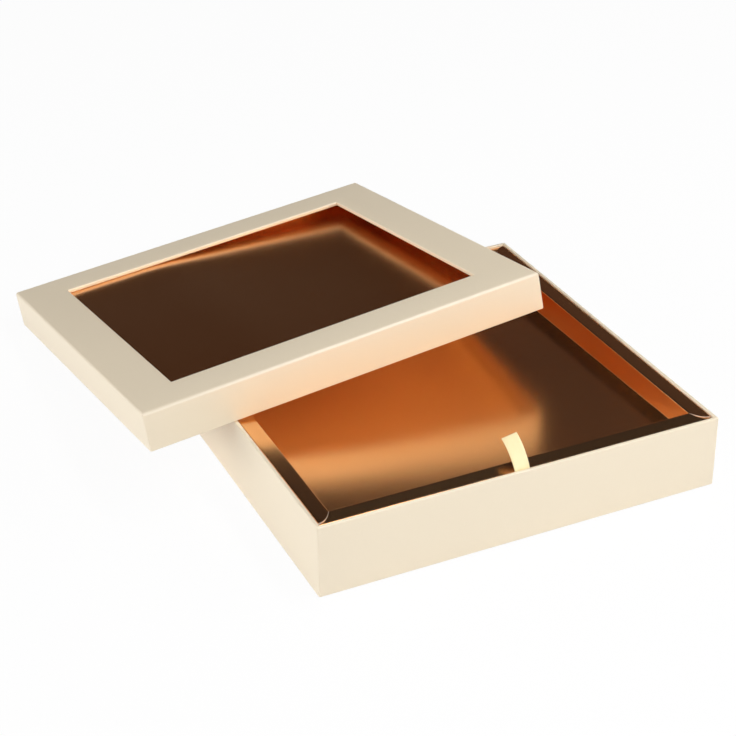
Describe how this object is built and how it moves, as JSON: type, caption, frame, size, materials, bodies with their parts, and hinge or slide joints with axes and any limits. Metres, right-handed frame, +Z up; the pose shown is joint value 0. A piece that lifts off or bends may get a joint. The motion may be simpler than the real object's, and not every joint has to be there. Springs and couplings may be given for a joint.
{
  "type": "lid and tray gift box",
  "caption": "Shallow rigid gift box: a wrapped board tray, a folded copper card insert with a ribbon pull, and a framed lid with a copper panel lying askew across it.",
  "frame": {"origin": "middle of the tray's underside, on the surface that the box stands on", "axes": "+X to the right along the tray's front, +Y to the back, +Z up"},
  "size_m": [0.3105, 0.381, 0.0895],
  "materials": {
    "greyboard": "matt recycled fibre",
    "pearl_paper": "pearlescent cream",
    "liner_paper": "matt off-white",
    "stay_tape": "gummed kraft",
    "copper_card": "metallic copper film",
    "satin_ribbon": "satin"
  },
  "bodies": {
    "base": {"base_board": "greyboard", "base_wrap": "pearl_paper", "base_liner": "liner_paper", "base_stay_front_left": "stay_tape", "base_stay_front_right": "stay_tape", "base_stay_back_left": "stay_tape", "base_stay_back_right": "stay_tape"},
    "insert": {"insert_tray": "copper_card", "ribbon_tail": "satin_ribbon"},
    "ribbon": {"ribbon_tab": "satin_ribbon"},
    "lid": {"lid_board": "greyboard", "lid_wrap": "pearl_paper", "lid_panel": "copper_card", "lid_stay_front_left": "stay_tape", "lid_stay_front_right": "stay_tape", "lid_stay_back_left": "stay_tape", "lid_stay_back_right": "stay_tape"}
  },
  "joints": [
    {"name": "insert_lift", "type": "slide", "parent": "base", "child": "insert", "axis": [0, 0, 1], "range_m": [0, 0.05]},
    {"name": "tab_fold", "type": "hinge", "parent": "insert", "child": "ribbon", "pos_m": [-0.0016, -0.1241, 0.045], "axis": [1, 0, 0], "range_deg": [-30, 70]},
    {"name": "lid_lift", "type": "slide", "parent": "insert", "child": "lid", "axis": [0, 0, 1], "range_m": [0, 0.065]}
  ]
}
